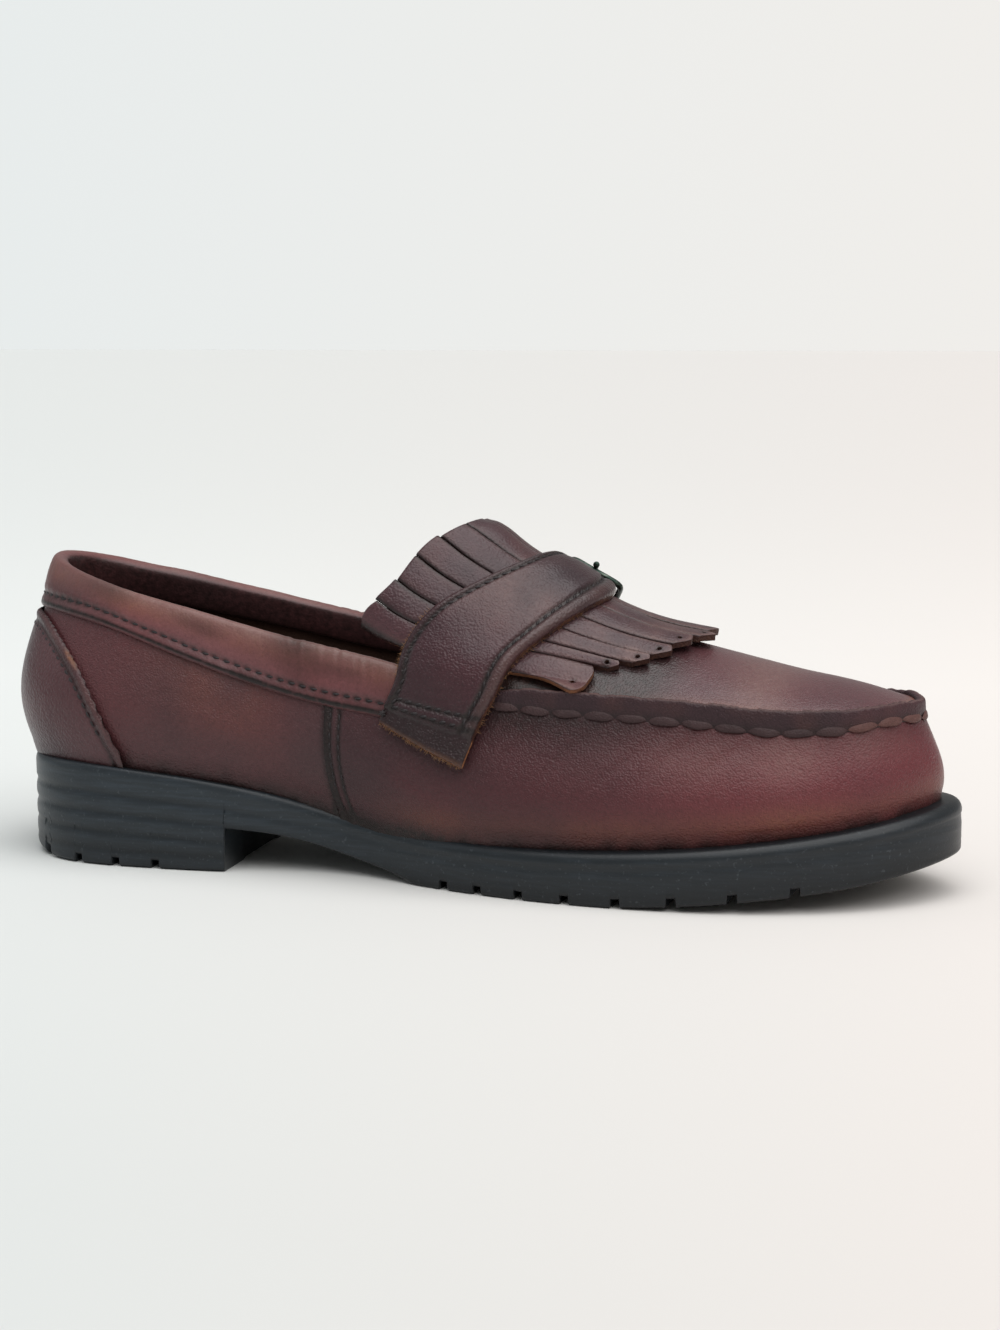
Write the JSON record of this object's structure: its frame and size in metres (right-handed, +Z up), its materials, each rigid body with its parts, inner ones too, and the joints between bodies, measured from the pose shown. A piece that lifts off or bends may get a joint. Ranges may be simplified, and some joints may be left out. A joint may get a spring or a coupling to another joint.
{
  "type": "kiltie loafer",
  "caption": "Burgundy leather kiltie loafer, left shoe, with a raised moccasin seam, a fringed kiltie under a buckled strap and a black rubber sole",
  "frame": {"origin": "middle of the bounding box, on the floor plane", "axes": "+X towards the toe, +Y towards the outer side of the left foot, +Z up"},
  "size_m": [0.2932, 0.1006, 0.1063],
  "materials": {
    "vamp_leather": "waxed pull-up leather, burgundy brown, soft sheen",
    "trim_leather": "waxed pull-up leather, darker brown, cut edges left raw",
    "lining_leather": "unpolished dark brown lining leather",
    "sole_rubber": "moulded black rubber, satin",
    "buckle_metal": "blackened metal, dark greenish black"
  },
  "bodies": {
    "root": {"outsole": "sole_rubber", "insole": "lining_leather", "upper": "vamp_leather", "heel_counter": "trim_leather", "collar_band": "vamp_leather", "tongue": "lining_leather", "kiltie": "trim_leather", "strap": "trim_leather", "buckle_frame": "buckle_metal", "buckle_prong": "buckle_metal", "buckle_chape": "trim_leather"}
  },
  "joints": []
}
